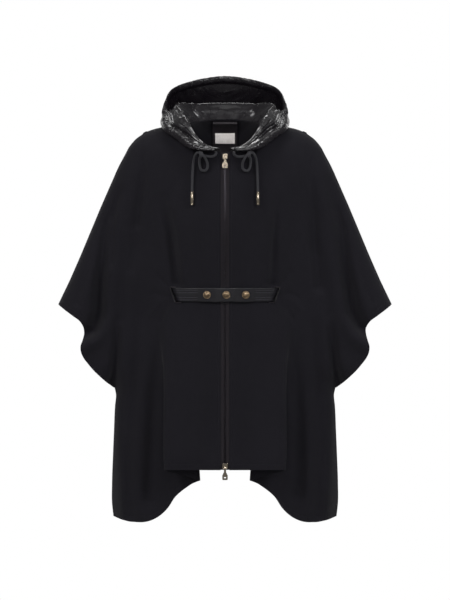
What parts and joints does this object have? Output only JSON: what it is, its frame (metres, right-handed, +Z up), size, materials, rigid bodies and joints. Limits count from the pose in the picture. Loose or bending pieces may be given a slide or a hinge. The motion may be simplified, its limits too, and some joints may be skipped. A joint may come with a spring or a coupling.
{
  "type": "hooded poncho",
  "caption": "Black hooded poncho with a full front zip, a lacquered nylon hood, hanging drawcords, wide draped arms and a snapped waist belt through side slots.",
  "frame": {"origin": "middle of the neck opening at the base of the neck, halfway between front and back", "axes": "-Y to the front of the garment, +X to the viewer's right as seen from the front, +Z up"},
  "size_m": [0.7492, 0.3236, 1.0129],
  "materials": {
    "cloth": "matte black woven cloth",
    "nylon": "glossy lacquered black nylon",
    "belting": "black belting with rows of stitching",
    "zip_tape": "black woven zip tape",
    "cord": "braided black cord",
    "gilt_metal": "polished light gold plated metal",
    "label": "cream satin label, left bare"
  },
  "bodies": {
    "garment": {"aglet_left": "gilt_metal", "aglet_right": "gilt_metal", "back": "cloth", "belt_strap": "belting", "belt_tab": "belting", "drawcord_left": "cord", "drawcord_right": "cord", "front_left": "cloth", "front_right": "cloth", "hanger_loop": "nylon", "hood_casing": "nylon", "hood_centre": "nylon", "hood_left": "nylon", "hood_right": "nylon", "label": "label", "neck_strip": "nylon", "slot_binding_left": "nylon", "slot_binding_right": "nylon", "snap_1": "gilt_metal", "snap_2": "gilt_metal", "snap_3": "gilt_metal", "zip_slider_bottom": "gilt_metal", "zip_slider_top": "gilt_metal", "zip_tape_left": "zip_tape", "zip_tape_right": "zip_tape"},
    "pull_top": {"zip_pull_top": "gilt_metal"},
    "pull_bottom": {"zip_pull_bottom": "gilt_metal"}
  },
  "joints": [
    {"name": "zip_pull_top_swing", "type": "hinge", "parent": "garment", "child": "pull_top", "pos_m": [0, -0.11383, -0.049], "axis": [-1, 0, 0], "range_deg": [0, 150]},
    {"name": "zip_pull_bottom_swing", "type": "hinge", "parent": "garment", "child": "pull_bottom", "pos_m": [0, -0.14155, -0.7248], "axis": [-1, 0, 0], "range_deg": [0, 150]}
  ]
}
